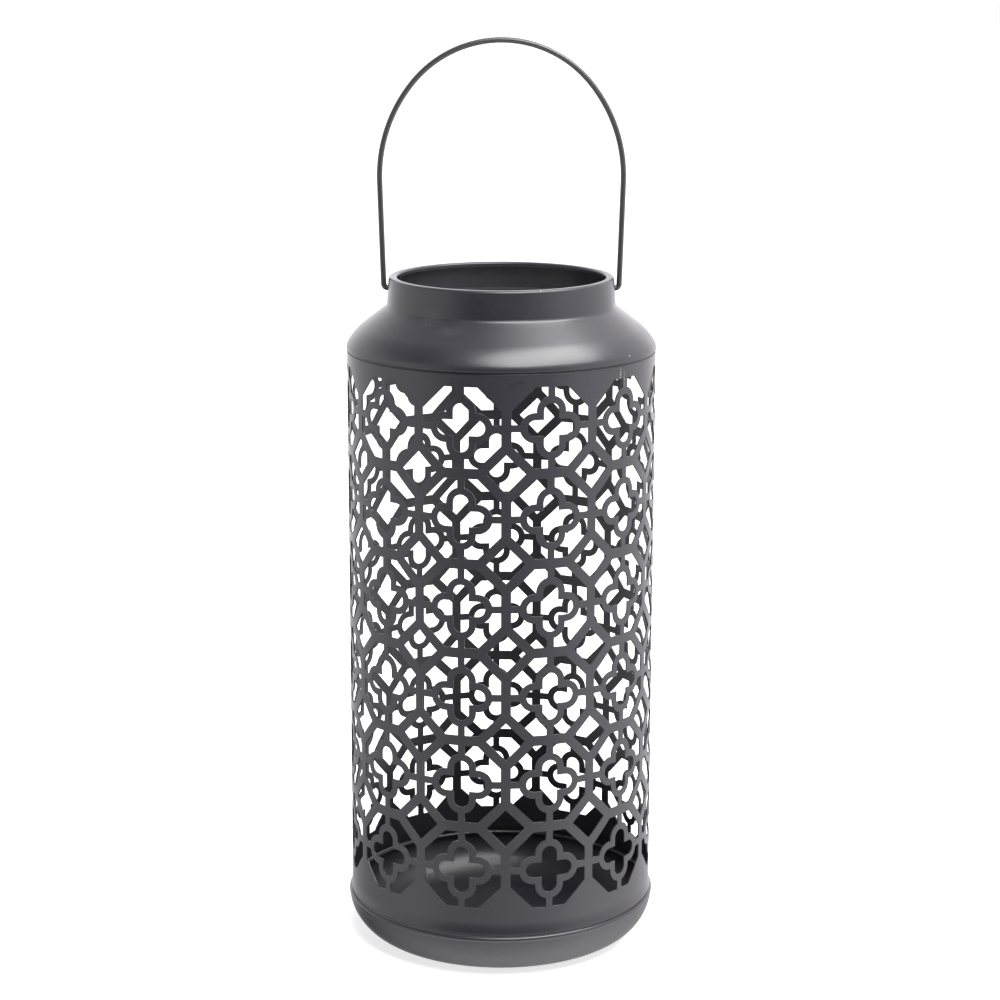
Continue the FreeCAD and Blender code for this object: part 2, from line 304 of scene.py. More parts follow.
def sheet_outline(points, from_axis=False):
    """The sheet's outline round its middle line, as a loop of places and of normals."""
    middle, left = np.array(points), normals_along(points)
    far, far_facing = rounded_end(middle[-1], left[-1])
    places = [middle + HALF_WALL * left, far, (middle - HALF_WALL * left)[::-1]]
    facing = [left, far_facing, -left[::-1]]
    if not from_axis:
        near, near_facing = rounded_end(middle[0], -left[0])
        places.append(near)
        facing.append(near_facing)
    return np.vstack(places), np.vstack(facing)


def mesh_object(name, vertices, faces, material):
    """An object at the origin from vertices in metres."""
    mesh = bpy.data.meshes.new(name)
    mesh.from_pydata([tuple(v) for v in vertices], [], faces)
    mesh.materials.append(material)
    piece = bpy.data.objects.new(name, mesh)
    bpy.context.scene.collection.objects.link(piece)
    return piece


def spun(name, places, facing, material, segments=256, closed=True):
    """Turns a sheet's outline round the axis. Points on the axis become one pole."""
    count = len(places)
    angles = [2 * math.pi * k / segments for k in range(segments)]
    vertices, normals, index = [], [], {}
    for i, ((r, z), (nr, nz)) in enumerate(zip(places, facing)):
        for k, a in enumerate(angles):
            if r < 1e-6 and k:
                index[i, k] = index[i, 0]
                continue
            index[i, k] = len(vertices)
            vertices.append((r * math.cos(a) * MM, r * math.sin(a) * MM, z * MM))
            normals.append((nr * math.cos(a), nr * math.sin(a), nz))
    faces = []
    for i in range(count if closed else count - 1):
        j = (i + 1) % count
        for k in range(segments):
            n = (k + 1) % segments
            ring = [index[i, k], index[j, k], index[j, n], index[i, n]]
            faces.append(list(dict.fromkeys(ring)))
    piece = mesh_object(name, vertices, [f for f in faces if len(f) > 2], material)
    return piece, np.array(normals)


def settle(piece):
    """Puts the mesh that a piece's modifiers make in the place of its own."""
    bpy.context.view_layer.update()
    mesh = bpy.data.meshes.new_from_object(
        piece.evaluated_get(bpy.context.evaluated_depsgraph_get()))
    piece.modifiers.clear()
    piece.data = mesh
    return mesh


def shade(piece, normals):
    """Gives each vertex its true normal, so that the light runs smoothly over the metal."""
    piece.data.shade_smooth()
    piece.data.normals_split_custom_set_from_vertices([Vector(n).normalized() for n in normals])


sheet_coat = powder_coat(
    "satin_charcoal_powder_coat_on_sheet", "#1f1e25", "#24232a", 0.34, 0.05, PALE_MARKS, DARK_MARKS)
wire_coat = powder_coat("satin_charcoal_powder_coat_on_wire", "#29292b", "#2f2f2e", 0.34, 0.03)


# Base pan

def base_pan():
    """The drawn pan: flat floor, round corner, a crease and the bead under the sleeve.

    Its rim is slanted a little, as the one in the photograph sits.
    """
    bend = BASE_CORNER - HALF_WALL
    bead_bend, bead_height = BEAD_RADIUS - HALF_WALL, SEAM_HEIGHT - BEAD_RADIUS
    bead_centre = SLEEVE_RADIUS + BEAD_REACH
    crease = (bead_centre + math.sqrt(bead_bend ** 2 - CREASE_DROP ** 2), bead_height - CREASE_DROP)
    floor = crease[0] - math.sqrt(bend ** 2 - (BASE_CORNER - crease[1]) ** 2)
    middle = trace(
        (0, HALF_WALL),
        ((floor, HALF_WALL),),
        (crease, bend, 1, False, 2),
        ((bead_centre - bead_bend, bead_height), bead_bend, 1, True, 8),
    )
    places, facing = sheet_outline(middle, from_axis=True)
    places[0], places[-1] = (0, WALL), (0, 0)
    piece, normals = spun("base_pan_shell", places, facing, sheet_coat, closed=False)
    for vertex in piece.data.vertices:
        share = min(max((vertex.co.z / MM - SEAT_FADE[0]) / (SEAT_FADE[1] - SEAT_FADE[0]), 0), 1)
        slant = (SEAT_TILT[0] * vertex.co.x + SEAT_TILT[1] * vertex.co.y) / SLEEVE_RADIUS
        vertex.co.z += share * (slant - SEAT_DROP * MM)
    shade(piece, normals)
    return piece


# Shoulder cap

def cap_line():
    """The middle line of the cap's sheet, from the lip up to the hem inside the mouth."""
    lip = (LIP_RADIUS - HALF_WALL, LIP_HEIGHT)
    lower, upper, fillet = LOWER_BEND - HALF_WALL, UPPER_BEND - HALF_WALL, NECK_FILLET + HALF_WALL
    t1, t2 = math.radians(LOWER_TURN), math.radians(SLOPE)
    knee = (lip[0] - lower * (1 - math.cos(t1)), lip[1] + lower * math.sin(t1))
    slope_low = (
        knee[0] - upper * (math.cos(t1) - math.cos(t2)),
        knee[1] + upper * (math.sin(t2) - math.sin(t1)),
    )
    neck = NECK_RADIUS - HALF_WALL
    high_radius = neck + fillet * (1 - math.cos(t2))
    slope_high = (high_radius, slope_low[1] + (slope_low[0] - high_radius) / math.tan(t2))
    foot = (neck, slope_high[1] + fillet * math.sin(t2))
    flat = RIM_HEIGHT - HALF_WALL
    hem = MOUTH_RADIUS + HALF_WALL
    return trace(
        lip,
        (knee, lower, 1, False, 3),
        (slope_low, upper, 1, False, 2),
        (slope_high,),
        (foot, fillet, -1, False, 5),
        ((NECK_TOP_RADIUS - HALF_WALL, RIM_HEIGHT - RIM_CORNER),),
        ((NECK_TOP_RADIUS - RIM_CORNER, flat), RIM_CORNER - HALF_WALL, 1, False, 9),
        ((MOUTH_RADIUS + HEM_CORNER, flat),),
        ((hem, RIM_HEIGHT - HEM_CORNER), HEM_CORNER - HALF_WALL, 1, False, 9),
        ((hem, RIM_HEIGHT - HEM_DROP + HALF_WALL),),
    )


def shoulder_cap():
    """The spun cap with the two plain holes for the bail."""
    places, facing = sheet_outline(cap_line())
    piece, _ = spun("shoulder_cap_shell", places, facing, sheet_coat)
    rod = np.array([
        (0, -CUTTER_REACH), (HOLE, -CUTTER_REACH), (HOLE, CUTTER_REACH), (0, CUTTER_REACH),
    ])
    cutter, _ = spun("bail_hole_cutter", rod, rod, sheet_coat, HOLE_SIDES, closed=False)
    along_x = Vector((1, 0, 0)).to_track_quat("Z", "Y").to_matrix().to_4x4()
    cutter.data.transform(Matrix.Translation((0, 0, PIVOT_HEIGHT * MM)) @ along_x)
    cut = piece.modifiers.new("bail_holes", "BOOLEAN")
    cut.operation, cut.solver, cut.object = "DIFFERENCE", "EXACT", cutter
    holed = settle(piece)
    bpy.data.objects.remove(cutter)
    # each corner takes the spun sheet's own normal, and the holes' walls keep theirs
    piece.data.shade_smooth()
    outline = places * MM
    true_normals = []
    for face in holed.polygons:
        for vertex in face.vertices:
            spot = holed.vertices[vertex].co
            r = math.hypot(spot.x, spot.y)
            nr, nz = facing[np.argmin(np.abs(outline - (r, spot.z)).sum(axis=1))]
            normal = Vector((nr * spot.x / r, nr * spot.y / r, nz)).normalized()
            true_normals.append(normal if normal.dot(face.normal) > 0.6 else face.normal.copy())
    holed.normals_split_custom_set(true_normals)
    return piece


# Wire bail

def bail_line():
    """The wire's middle line from one stub, over the arch, to the other, across and up."""
    lean, half = math.radians(LEG_LEAN), math.radians(CROWN_HALF_ANGLE)
    elbow = (ELBOW_INNER + ELBOW * math.cos(lean), PIVOT_HEIGHT + ELBOW * (1 - math.sin(lean)))
    crown_height = PIVOT_HEIGHT + BAIL_RISE
    crown_end = CROWN_RADIUS * math.sin(half)
    end_height = crown_height - CROWN_RADIUS * (1 - math.cos(half))
    spread = elbow[0] + (end_height - elbow[1]) * math.tan(lean) - crown_end
    side = spread / (1 / math.cos(lean) - math.sin(half) + math.cos(half) * math.tan(lean))
    leg = (
        crown_end + side * (math.cos(lean) - math.sin(half)),
        end_height - side * (math.cos(half) + math.sin(lean)),
    )
    left = trace(
        (-STUB_END, PIVOT_HEIGHT),
        ((-ELBOW_INNER, PIVOT_HEIGHT),),
        ((-elbow[0], elbow[1]), ELBOW, -1, False, 8),
        ((-leg[0], leg[1]),),
        ((-crown_end, end_height), side, -1, False, 3),
        ((0, crown_height), CROWN_RADIUS, -1, False, 3),
    )
    return left + [(-x, z) for x, z in left[-2::-1]]


def bail_handle():
    """One length of round wire with slightly rounded ends."""
    line = np.array(bail_line())
    left = normals_along(line)
    sides = [2 * math.pi * k / WIRE_SIDES for k in range(WIRE_SIDES)]
    # both stubs lie along X, so an end's rings are a step to the side of its last point
    first = [(line[0] - (step, 0), left[0], WIRE - thinner) for thinner, step in WIRE_END]
    last = [(line[-1] + (step, 0), left[-1], WIRE - thinner) for thinner, step in WIRE_END]
    body = [(point, normal, WIRE) for point, normal in zip(line[1:-1], left[1:-1])]
    rings = first + body + last[::-1]
    vertices = []
    for (x, z), (nx, nz), radius in rings:
        for a in sides:
            out = np.array([nx * math.cos(a), math.sin(a), nz * math.cos(a)])
            vertices.append((np.array([x, 0, z]) + radius * out) * MM)
    faces = []
    for start in range(0, len(vertices) - WIRE_SIDES, WIRE_SIDES):
        for k in range(WIRE_SIDES):
            n = (k + 1) % WIRE_SIDES
            faces.append([start + k, start + n, start + WIRE_SIDES + n, start + WIRE_SIDES + k])
    faces.append(list(range(WIRE_SIDES))[::-1])
    faces.append(list(range(len(vertices) - WIRE_SIDES, len(vertices))))
    piece = mesh_object("bail_wire", vertices, faces, wire_coat)
    piece.data.shade_smooth()
    return piece


# Punched sleeve

def arc_round(cx, cy, radius, first, last, count):
    """Points of an arc given by its centre and its two angles in degrees."""
    angles = [math.radians(first + (last - first) * i / count) for i in range(count + 1)]
    return [(cx + radius * math.cos(a), cy + radius * math.sin(a)) for a in angles]


def split(start, end, count):
    """A straight side in equal parts, with its first point and without its last."""
    (x0, y0), (x1, y1) = start, end
    return [(x0 + (x1 - x0) * i / count, y0 + (y1 - y0) * i / count) for i in range(count)]


def quarter_turns(points, turn):
    """Points turned by a number of quarter turns."""
    for _ in range(turn):
        points = [(-y, x) for x, y in points]
    return points


def quatrefoil_opening(grow):
    """The four-lobed opening in the middle of a cell, anticlockwise."""
    r, a = LOBE_HOLE + grow, LOBE_OFFSET
    lobe = (
        split((r, -r), (a, -r), 2)
        + arc_round(a, 0, r, -90, 90, 14)
        + split((a, r), (r, r), 2)[1:]
    )
    return [point for k in range(4) for point in quarter_turns(lobe, k)]


def corner_opening(grow):
    """The opening between ring, links and octagon in a cell's upper right corner, anticlockwise."""
    side_x = SLEEVE_RADIUS * math.sin((COLUMN_PITCH - BAR) / 2 / SLEEVE_RADIUS) + grow
    side_y = (ROW_PITCH - BAR) / 2 + grow
    slant = (ROW_PITCH - BAR) / 2 * math.sqrt(2) + grow * math.sqrt(2)
    link, ring, a = LINK / 2 - grow, LOBE_RING - grow, LOBE_OFFSET
    meet = math.sqrt(ring ** 2 - link ** 2)
    tip = math.degrees(math.asin(link / ring))
    return (
        split((a + meet, link), (side_x, link), 2)
        + split((side_x, link), (side_x, slant - side_x), 3)
        + split((side_x, slant - side_x), (slant - side_y, side_y), 6)
        + split((slant - side_y, side_y), (link, side_y), 3)
        + split((link, side_y), (link, a + meet), 2)
        + arc_round(0, a, ring, 90 - tip, 0, 8)
        + [(ring, ring)]
        + arc_round(a, 0, ring, 90, tip, 8)[:-1]
    )


def mirrored(points, sx, sy):
    """A loop mirrored across the cell's middle lines, kept anticlockwise."""
    flipped = [(sx * x, sy * y) for x, y in points]
    return flipped if sx * sy > 0 else flipped[::-1]


def cell_openings(grow):
    """The five openings inside one cell."""
    corners = [mirrored(corner_opening(grow), sx, sy) for sx in (1, -1) for sy in (1, -1)]
    return [quatrefoil_opening(grow)] + corners


def diamond_reach(grow):
    """Half the diagonal of the diamond where four cells meet."""
    return (ROW_PITCH / (1 + math.sqrt(2)) - BAR) / math.sqrt(2) + grow * math.sqrt(2)


def on_sleeve(x, depth):
    """The distance round the sleeve of a point punched straight in at x from the punch's middle."""
    return SLEEVE_RADIUS * math.asin(x / (SLEEVE_RADIUS - depth))


def cell_border(grow, depth, low, high):
    """The border of a tile, anticlockwise, and which of its points lie on a diamond's cut sides."""
    half, top, d = COLUMN_PITCH / 2, ROW_PITCH / 2, diamond_reach(grow)
    slant = [
        (on_sleeve(d * i / DIAMOND_PARTS, depth), d * (1 - i / DIAMOND_PARTS))
        for i in range(DIAMOND_PARTS + 1)
    ]

    def corner(sx, sy, cut):
        if not cut:
            return [(sx * half, sy * top)]
        points = [(sx * (half - across), sy * (top - up)) for across, up in slant]
        return points if sx * sy > 0 else points[::-1]

    corners = [corner(1, -1, low), corner(1, 1, high), corner(-1, 1, high), corner(-1, -1, low)]
    upright = SIDE_PARTS if low and high else LONG_SIDE_PARTS
    top_parts, foot_parts = (SIDE_PARTS if clipped else BAND_PARTS for clipped in (high, low))
    counts = (upright, top_parts, upright, foot_parts)
    border, cut = [], []
    for here, there, count in zip(corners, corners[1:] + corners[:1], counts):
        seam = split(here[-1], there[0], count)[1:]
        border += here + seam
        cut += [len(here) > 1] * len(here) + [False] * len(seam)
    return border, cut


def inside(point, loop):
    """Whether a point lies inside a closed loop."""
    x, y = point
    crossings = 0
    for (x0, y0), (x1, y1) in zip(loop, loop[1:] + loop[:1]):
        if (y0 > y) != (y1 > y) and x < x0 + (y - y0) * (x1 - x0) / (y1 - y0):
            crossings += 1
    return crossings % 2 == 1


def outward_sides(loop):
    """The left-hand normal at each point of a closed loop."""
    line = np.array(loop)
    steps = np.roll(line, -1, axis=0) - line
    steps /= np.linalg.norm(steps, axis=1)[:, None]
    along = steps + np.roll(steps, 1, axis=0)
    along /= np.linalg.norm(along, axis=1)[:, None]
    return np.stack([-along[:, 1], along[:, 0]], axis=1)


def tile(name, low, high):
    """One cell of the flat sheet: X round the sleeve, Y into the sheet, Z up from its middle.

    Diamonds are cut at its low and high corners, or the sheet goes on in a plain band there.
    """
    layers = ((CUT_EDGE, 0), (0, CUT_EDGE), (0, WALL - CUT_EDGE), (CUT_EDGE, WALL))
    vertices, facing, faces = [], [], []
    flat, constraints, holes, rings = [], [], [], []
    for grow, depth in layers:
        border, cut = cell_border(grow, depth, low, high)
        loops = [border]
        loops += [[(on_sleeve(x, depth), v) for x, v in loop] for loop in cell_openings(grow)]
        ring = []
        for number, loop in enumerate(loops):
            start = len(vertices)
            vertices += [(u, depth, v) for u, v in loop]
            ring.append(list(range(start, len(vertices))))
            if depth in (0, WALL):
                facing += [(0, -1 if depth == 0 else 1, 0)] * len(loop)
            elif number:
                facing += [(x, 0, v) for x, v in outward_sides(loop)]
            else:
                facing += [(math.copysign(1, u), 0, math.copysign(1, v)) for u, v in loop]
        rings.append(ring)
        if depth == 0:
            holes = loops[1:]
            for loop in ring:
                constraints += list(zip(loop, loop[1:] + loop[:1]))
            flat = [Vector((v[0], v[2])) for v in vertices]
    # the front and the back are one net of triangles between the openings
    spots, _, triangles, origin, _, _ = delaunay_2d_cdt(flat, constraints, [], 0, 1e-6)
    behind = {a: d for front, back in zip(rings[0], rings[3]) for a, d in zip(front, back)}
    for triangle in triangles:
        centre = sum((spots[i] for i in triangle), Vector((0, 0))) / 3
        if any(inside(centre, loop) for loop in holes):
            continue
        front = [origin[i][0] for i in triangle]
        faces.append(front)
        faces.append([behind[i] for i in reversed(front)])
    # the cut edges: a soft rim, the wall and a soft rim again
    for upper, lower in zip(rings, rings[1:]):
        for number, (near, far) in enumerate(zip(upper, lower)):
            for i in range(len(near)):
                j = (i + 1) % len(near)
                if number:
                    faces.append([near[i], near[j], far[j], far[i]])
                elif cut[i] and cut[j]:
                    faces.append([near[j], near[i], far[i], far[j]])
    if not low:
        band(vertices, facing, faces, sheet_end(*FOOT_BAND, -1), FIRST_ROW)
    if not high:
        band(vertices, facing, faces, sheet_end(*TOP_BAND, 1), FIRST_ROW + (ROWS - 1) * ROW_PITCH)
    mesh = bpy.data.meshes.new(name)
    mesh.from_pydata([tuple(c * MM for c in v) for v in vertices], [], faces)
    mesh.attributes.new("facing", "FLOAT_VECTOR", "POINT").data.foreach_set(
        "vector", np.array(facing, dtype=float).ravel())
    piece = bpy.data.objects.new(name, mesh)
    bpy.context.scene.collection.objects.link(piece)
    return piece


def sheet_end(heights, edge, tip, way):
    """The plain sheet past the last cell, as (depth, height), up (1) or down (-1) to its edge.

    The outer face stops at the edge that shows; a thinner tongue goes on behind the next piece.
    """
    half = (WALL - SEAM_STEP) / 2
    outline = trace(
        (0, heights[0]),
        *[((0, z),) for z in heights[1:]],
        ((0, edge - way * SEAM_ROUND),),
        ((SEAM_ROUND, edge), SEAM_ROUND, -way, False, 30),
        ((SEAM_STEP - SEAM_NOTCH, edge),),
        ((SEAM_STEP, edge + way * SEAM_NOTCH),),
        ((SEAM_STEP, tip - way * half),),
        ((SEAM_STEP + half, tip), half, -way, False, 30),
        ((WALL, tip - way * half), half, -way, False, 30),
        *[((WALL, z),) for z in heights[::-1]],
    )
    return outline[::way]


def band(vertices, facing, faces, outline, row):
    """One column's share of the plain sheet beyond a row, from its outline."""
    start, across = len(vertices), BAND_PARTS + 1
    for (depth, z), (inward, up) in zip(outline, normals_along(outline)):
        for i in range(across):
            vertices.append((COLUMN_PITCH * (i / BAND_PARTS - 0.5), depth, z - row))
            facing.append((0, inward, up))
    for k in range(len(outline) - 1):
        for i in range(BAND_PARTS):
            a, b = start + across * k + i, start + across * (k + 1) + i
            faces.append([a, a + 1, b + 1, b])


def rolling_tree():
    """Lays tiles in columns and rows as the flat punched sheet, and rolls the sheet to a tube."""
    tree = bpy.data.node_groups.new("punched_sleeve", "GeometryNodeTree")
    for socket, kind in (
        ("Lowest Tile", "Object"), ("Middle Tile", "Object"), ("Highest Tile", "Object"),
        ("Columns", "Int"), ("Rows", "Int"), ("Column Pitch", "Float"), ("Row Pitch", "Float"),
        ("First Row Height", "Float"), ("Sleeve Radius", "Float"), ("Pattern Turn", "Float"),
        ("Flare Top", "Float"), ("Flare Curve", "Float"), ("Finish", "Material"),
    ):
        tree.interface.new_socket(name=socket, in_out="INPUT", socket_type=f"NodeSocket{kind}")
    tree.interface.new_socket(name="Sleeve", in_out="OUTPUT", socket_type="NodeSocketGeometry")
    given = add(tree, "NodeGroupInput").outputs
    lowest, middle, highest = (
        add(tree, "GeometryNodeObjectInfo", {"Object": given[f"{place} Tile"]}).outputs["Geometry"]
        for place in ("Lowest", "Middle", "Highest")
    )
    # one column: the lowest tile, the middle ones on a line, and the highest one
    inner = add(tree, "ShaderNodeMath", {0: given["Rows"], 1: 2.0}, operation="SUBTRACT").outputs[0]
    last = add(tree, "ShaderNodeMath", {0: given["Rows"], 1: 1.0}, operation="SUBTRACT").outputs[0]
    one_up = add(tree, "ShaderNodeCombineXYZ", {"Z": given["Row Pitch"]}).outputs[0]
    rise = add(tree, "ShaderNodeMath", {
        0: last, 1: given["Row Pitch"],
    }, operation="MULTIPLY").outputs[0]
    to_top = add(tree, "ShaderNodeCombineXYZ", {"Z": rise}).outputs[0]
    upright = add(tree, "GeometryNodeMeshLine", {
        "Count": inner, "Start Location": one_up, "Offset": one_up,
    })
    stacked = add(tree, "GeometryNodeInstanceOnPoints", {
        "Points": upright.outputs[0], "Instance": middle,
    })
    raised = add(tree, "GeometryNodeTransform", {"Geometry": highest, "Translation": to_top})
    column = add(tree, "GeometryNodeJoinGeometry")
    for part in (raised.outputs[0], stacked.outputs[0], lowest):
        tree.links.new(part, column.inputs[0])
    # the columns side by side
    one_on = add(tree, "ShaderNodeCombineXYZ", {"X": given["Column Pitch"]}).outputs[0]
    across = add(tree, "GeometryNodeMeshLine", {"Count": given["Columns"], "Offset": one_on})
    sheet = add(tree, "GeometryNodeInstanceOnPoints", {
        "Points": across.outputs[0], "Instance": column.outputs[0],
    })
    realized = add(tree, "GeometryNodeRealizeInstances", {"Geometry": sheet.outputs[0]})
    # rolled up: the distance across turns into an angle, and the foot flares on an arc
    place = add(tree, "GeometryNodeInputPosition").outputs[0]
    spot = add(tree, "ShaderNodeSeparateXYZ", {0: place}).outputs
    height = add(tree, "ShaderNodeMath", {0: spot["Z"], 1: given["First Row Height"]}).outputs[0]
    below = add(tree, "ShaderNodeMath", {
        0: given["Flare Top"], 1: height,
    }, operation="SUBTRACT").outputs[0]
    under = add(tree, "ShaderNodeMath", {0: below, 1: 0.0}, operation="MAXIMUM").outputs[0]
    squares = [
        add(tree, "ShaderNodeMath", {0: value, 1: value}, operation="MULTIPLY").outputs[0]
        for value in (given["Flare Curve"], under)
    ]
    rest = add(tree, "ShaderNodeMath", {
        0: squares[0], 1: squares[1],
    }, operation="SUBTRACT").outputs[0]
    root = add(tree, "ShaderNodeMath", {0: rest}, operation="SQRT").outputs[0]
    flare = add(tree, "ShaderNodeMath", {
        0: given["Flare Curve"], 1: root,
    }, operation="SUBTRACT").outputs[0]
    depth = add(tree, "ShaderNodeMath", {
        0: given["Sleeve Radius"], 1: spot["Y"],
    }, operation="SUBTRACT").outputs[0]
    radius = add(tree, "ShaderNodeMath", {0: depth, 1: flare}).outputs[0]
    share = add(tree, "ShaderNodeMath", {
        0: spot["X"], 1: given["Sleeve Radius"],
    }, operation="DIVIDE").outputs[0]
    angle = add(tree, "ShaderNodeMath", {0: share, 1: given["Pattern Turn"]}).outputs[0]
    sine = add(tree, "ShaderNodeMath", {0: angle}, operation="SINE").outputs[0]
    cosine = add(tree, "ShaderNodeMath", {0: angle}, operation="COSINE").outputs[0]
    right, front = (
        add(tree, "ShaderNodeMath", {0: radius, 1: turned}, operation="MULTIPLY").outputs[0]
        for turned in (sine, cosine)
    )
    back = add(tree, "ShaderNodeMath", {0: front, 1: -1.0}, operation="MULTIPLY").outputs[0]
    rolled = add(tree, "ShaderNodeCombineXYZ", {"X": right, "Y": back, "Z": height}).outputs[0]
    placed = add(tree, "GeometryNodeSetPosition", {
        "Geometry": realized.outputs[0], "Position": rolled,
    })
    merged = add(tree, "GeometryNodeMergeByDistance", {
        "Geometry": placed.outputs[0], "Distance": WELD * MM,
    })
    finished = add(tree, "GeometryNodeSetMaterial", {
        "Geometry": merged.outputs[0], "Material": given["Finish"],
    })
    add(tree, "NodeGroupOutput", {0: finished.outputs[0]})
    return tree


def flare_curve():
    """The radius of the arc on which the sleeve's foot flares out."""
    return (FLARE_REACH ** 2 + (FLARE_TOP - FLARE_FOOT) ** 2) / (2 * FLARE_REACH)


def perforated_sleeve():
    """The punched sheet rolled to a closed tube."""
    tiles = [
        tile("lowest_tile", False, True),
        tile("middle_tile", True, True),
        tile("highest_tile", True, False),
    ]
    holder = bpy.data.objects.new("perforated_sleeve_shell", bpy.data.meshes.new("blank"))
    bpy.context.scene.collection.objects.link(holder)
    tree = rolling_tree()
    rolling = holder.modifiers.new("rolling", "NODES")
    rolling.node_group = tree
    sizes = {
        "Lowest Tile": tiles[0], "Middle Tile": tiles[1], "Highest Tile": tiles[2],
        "Columns": COLUMNS, "Rows": ROWS,
        "Column Pitch": COLUMN_PITCH * MM, "Row Pitch": ROW_PITCH * MM,
        "First Row Height": FIRST_ROW * MM, "Sleeve Radius": SLEEVE_RADIUS * MM,
        "Pattern Turn": math.radians(PATTERN_TURN), "Flare Top": FLARE_TOP * MM,
        "Flare Curve": flare_curve() * MM, "Finish": sheet_coat,
    }
    for socket in tree.interface.items_tree:
        if socket.in_out == "INPUT":
            rolling[socket.identifier] = sizes[socket.name]
    mesh = settle(holder)
    for piece in tiles:
        bpy.data.objects.remove(piece)
    spots = np.empty(len(mesh.vertices) * 3)
    mesh.vertices.foreach_get("co", spots)
    facing = np.empty(len(mesh.vertices) * 3)
    mesh.attributes["facing"].data.foreach_get("vector", facing)
    spots, facing = spots.reshape(-1, 3), facing.reshape(-1, 3)
    # the flat sheet's normals are turned as the rolled and flared sheet turned them
    angle = np.arctan2(spots[:, 0], -spots[:, 1])
    tilt = np.arcsin(np.clip(FLARE_TOP * MM - spots[:, 2], 0, None) / (flare_curve() * MM))
    tangent = np.stack([np.cos(angle), np.sin(angle), np.zeros_like(angle)], axis=1)
    level = np.cos(tilt)
    out = np.stack([np.sin(angle) * level, -np.cos(angle) * level, np.sin(tilt)], axis=1)
    up = np.cross(out, tangent) * -1
    up *= np.sign(up[:, 2:3])
    normals = facing[:, 0:1] * tangent - facing[:, 1:2] * out + facing[:, 2:3] * up
    mesh.attributes.remove(mesh.attributes["facing"])
    shade(holder, normals)
    return holder


# The object

for piece, body, nodes, finish in (
    (base_pan(), "lantern", "base_pan", "coated_sheet"),
    (perforated_sleeve(), "lantern", "perforated_sleeve", "coated_sheet"),
    (shoulder_cap(), "lantern", "shoulder_cap", "coated_sheet"),
    (bail_handle(), "bail", "bail_handle", "coated_wire"),
):
    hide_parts(nodes)
    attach(piece, body)


# Studio

def white_floor():
    """A pale floor that shows white to the camera and keeps the object's shadow.

    The coat's reflections see the room's own lower half in its place, which studio_world gives.
    """
    material, tree = new_material("white_studio_floor")
    paths = add(tree, "ShaderNodeLightPath").outputs
    seen = add(tree, "ShaderNodeMath", {
        0: paths["Is Camera Ray"], 1: paths["Is Transmission Ray"],
    }, use_clamp=True).outputs[0]
    # near the lantern the floor is dim enough to show its shadow, farther off it is plain white
    spot = add(tree, "ShaderNodeTexCoord").outputs["Object"]
    away = add(tree, "ShaderNodeVectorMath", {0: spot}, operation="LENGTH").outputs["Value"]
    paler = add(tree, "ShaderNodeMapRange", {
        "Value": away, "From Min": 0.25, "From Max": 1.0, "To Min": 0.7, "To Max": 1.0,
    }).outputs["Result"]
    lift = add(tree, "ShaderNodeMath", {0: seen, 1: paler}, operation="MULTIPLY").outputs[0]
    paint = add(tree, "ShaderNodeBsdfPrincipled", {
        "Base Color": colour("#e4e4e4"), "Roughness": 0.9, "Specular IOR Level": 0.0,
        "Emission Color": [1, 1, 1, 1], "Emission Strength": lift,
    })
    clear = add(tree, "ShaderNodeBsdfTransparent")
    either = add(tree, "ShaderNodeMixShader", {
        0: paths["Is Glossy Ray"], 1: paint.outputs["BSDF"], 2: clear.outputs["BSDF"],
    })
    add(tree, "ShaderNodeOutputMaterial", {"Surface": either.outputs[0]})
    sides = ((-1, -1), (1, -1), (1, 1), (-1, 1))
    corners = [(FLOOR_REACH * x, FLOOR_REACH * y, FLOOR_HEIGHT) for x, y in sides]
    floor = mesh_object("studio_floor", corners, [[0, 1, 2, 3]], material)


def studio_light(name, azimuth, elevation, distance, width, height, power):
    """A soft rectangular lamp that looks at the lantern; azimuth 0 is the front, + to the right."""
    a, e = math.radians(azimuth), math.radians(elevation)
    away = Vector((math.sin(a) * math.cos(e), -math.cos(a) * math.cos(e), math.sin(e)))
    lamp = bpy.data.lights.new(name, "AREA")
    lamp.shape, lamp.size, lamp.size_y, lamp.energy = "RECTANGLE", width, height, power
    holder = bpy.data.objects.new(name, lamp)
    holder.location = Vector(LAMP_AIM) + away * distance
    holder.rotation_euler = away.to_track_quat("Z", "Y").to_euler()
    bpy.context.scene.collection.objects.link(holder)


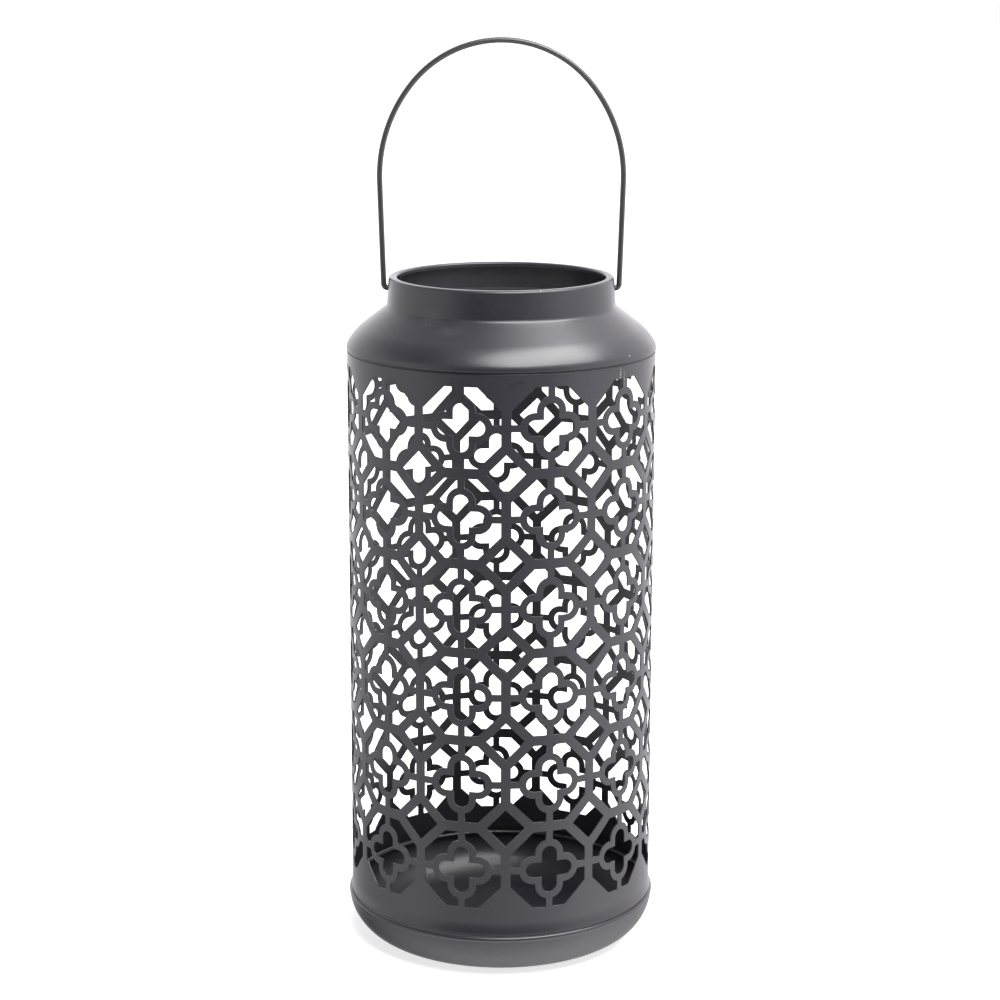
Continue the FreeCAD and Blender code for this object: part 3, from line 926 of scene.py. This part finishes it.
def studio_world():
    """White all round for the camera. The coat mirrors a room, given by direction.

    The wall behind the camera is dark. The side walls, the back, the ceiling towards the back
    and the table under the lantern are bright, and brighter to the right.
    """
    world = bpy.data.worlds.new("studio")
    bpy.context.scene.world = world
    world.use_nodes = True
    tree = world.node_tree
    tree.nodes.clear()
    facing = add(tree, "ShaderNodeTexCoord").outputs["Generated"]
    way = add(tree, "ShaderNodeSeparateXYZ", {0: facing}).outputs
    # each ramp: the direction it runs along, from where to where, and its level before and after
    wall, back, above, table, ceiling, near = (
        add(tree, "ShaderNodeMapRange", {
            "Value": way[axis], "From Min": begin, "From Max": end,
            "To Min": before, "To Max": after,
        }, interpolation_type=run).outputs["Result"]
        for axis, begin, end, before, after, run in (
            ("Y", -0.92, -0.42, 0.06, 1.55, "SMOOTHSTEP"),
            ("Y", 0.75, 0.98, 0.0, 0.8, "SMOOTHSTEP"),
            ("Y", -0.1, 0.6, 0.15, 1.25, "LINEAR"),
            ("Z", -0.18, -0.56, 0.0, 1.0, "SMOOTHSTEP"),
            ("Z", 0.3, 0.7, 0.0, 1.0, "SMOOTHSTEP"),
            ("Y", -0.2, 0.6, 2.55, 0.6, "LINEAR"),
        )
    )
    round_wall = add(tree, "ShaderNodeMath", {0: wall, 1: back}).outputs[0]
    # how much each grows from the left to the right
    sides, across, tabletop = (
        add(tree, "ShaderNodeMath", {
            0: way["X"], 1: growth, 2: middle,
        }, operation="MULTIPLY_ADD").outputs[0]
        for growth, middle in ((0.2, round_wall), (0.8, 1.0), (0.9, near))
    )
    roof = add(tree, "ShaderNodeMath", {0: above, 1: across}, operation="MULTIPLY").outputs[0]
    lower = add(tree, "ShaderNodeMix", {0: table, 2: sides, 3: tabletop}).outputs[0]
    mirrored_room = add(tree, "ShaderNodeMix", {0: ceiling, 2: lower, 3: roof}).outputs[0]
    paths = add(tree, "ShaderNodeLightPath").outputs
    # the room's diffuse light is weaker than what the gloss mirrors
    dull = add(tree, "ShaderNodeMath", {0: mirrored_room, 1: 0.6}, operation="MULTIPLY").outputs[0]
    room = add(tree, "ShaderNodeMix", {
        0: paths["Is Glossy Ray"], 2: dull, 3: mirrored_room,
    }).outputs[0]
    level = add(tree, "ShaderNodeMix", {0: paths["Is Camera Ray"], 2: room, 3: 1.0}).outputs[0]
    cast = add(tree, "ShaderNodeMix", {
        "Factor": paths["Is Camera Ray"], "A": colour("#fffdff"), "B": colour("#ffffff"),
    }, data_type="RGBA").outputs["Result"]
    sky = add(tree, "ShaderNodeBackground", {"Color": cast, "Strength": level})
    add(tree, "ShaderNodeOutputWorld", {"Surface": sky.outputs[0]})


def camera():
    """The photograph's camera: a little higher than the bail, looking down at the middle."""
    lens = bpy.data.cameras.new("camera")
    lens.lens, lens.sensor_width, lens.sensor_fit = CAMERA_LENS, CAMERA_SENSOR, "HORIZONTAL"
    lens.clip_start, lens.clip_end = 0.05, 60
    view = bpy.data.objects.new("camera", lens)
    view.location = CAMERA_PLACE
    view.rotation_euler = CAMERA_TURN
    bpy.context.scene.collection.objects.link(view)
    bpy.context.scene.camera = view


white_floor()
studio_world()
studio_light("key_from_the_right", 47, 62, 1.6, 1.85, 1.0, 80)
camera()
bpy.context.scene.view_settings.view_transform = "Standard"
